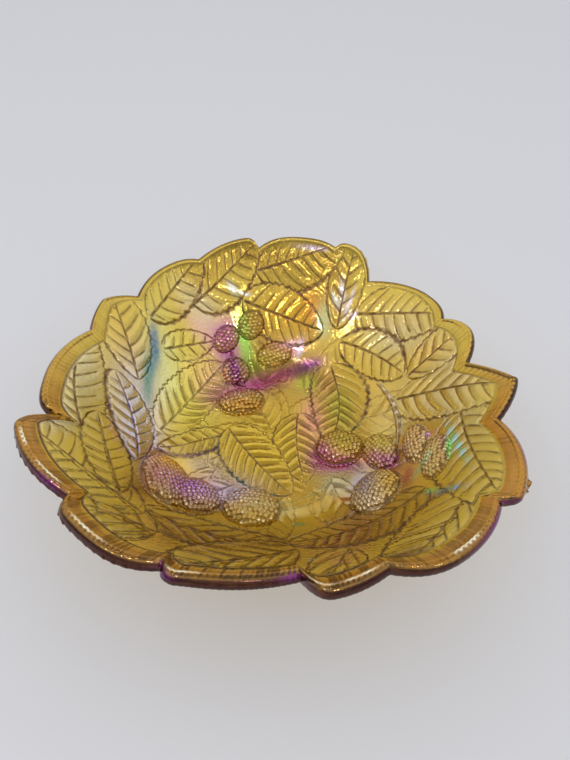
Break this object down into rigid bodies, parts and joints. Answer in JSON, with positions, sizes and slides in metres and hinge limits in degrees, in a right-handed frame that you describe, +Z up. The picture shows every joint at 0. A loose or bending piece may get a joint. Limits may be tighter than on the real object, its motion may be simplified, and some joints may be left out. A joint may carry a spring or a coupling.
{
  "type": "carnival glass bowl",
  "caption": "Oval pressed amber glass bowl with an iridescent finish, a wall of overlapping leaves with a lobed rounded rim, raised bramble berries inside and a low foot ring.",
  "frame": {"origin": "centre of the foot ring, on the plane that the bowl rests on", "axes": "+X along the bowl's length, +Y from its front to its back, +Z up out of its mouth"},
  "size_m": [0.285, 0.2611, 0.0801],
  "materials": {
    "amber_glass": "clear amber pressed glass with a thin iridescent film",
    "gold_lustre": "amber glass with a gold and green iridescent film",
    "violet_lustre": "amber glass with a violet and magenta iridescent film"
  },
  "bodies": {
    "root": {"bowl_body": "amber_glass", "foot_ring": "amber_glass", "rim_leaf_01": "amber_glass", "rim_leaf_02": "amber_glass", "rim_leaf_03": "amber_glass", "rim_leaf_04": "amber_glass", "rim_leaf_05": "amber_glass", "rim_leaf_06": "amber_glass", "rim_leaf_07": "amber_glass", "rim_leaf_08": "amber_glass", "rim_leaf_09": "amber_glass", "rim_leaf_10": "amber_glass", "rim_leaf_11": "amber_glass", "rim_leaf_12": "amber_glass", "rim_leaf_13": "amber_glass", "rim_leaf_14": "amber_glass", "rim_leaf_15": "amber_glass", "inner_leaf_01": "gold_lustre", "inner_leaf_02": "gold_lustre", "inner_leaf_03": "gold_lustre", "inner_leaf_04": "gold_lustre", "inner_leaf_05": "gold_lustre", "inner_leaf_06": "gold_lustre", "inner_leaf_07": "gold_lustre", "inner_leaf_08": "gold_lustre", "stem_01": "gold_lustre", "stem_02": "gold_lustre", "stem_03": "gold_lustre", "berry_01": "violet_lustre", "berry_02": "violet_lustre", "berry_03": "violet_lustre", "berry_04": "violet_lustre", "berry_05": "violet_lustre", "berry_06": "violet_lustre", "berry_07": "violet_lustre", "berry_08": "violet_lustre", "berry_09": "violet_lustre", "berry_10": "violet_lustre", "berry_11": "violet_lustre", "berry_12": "violet_lustre", "berry_13": "violet_lustre"}
  },
  "joints": []
}
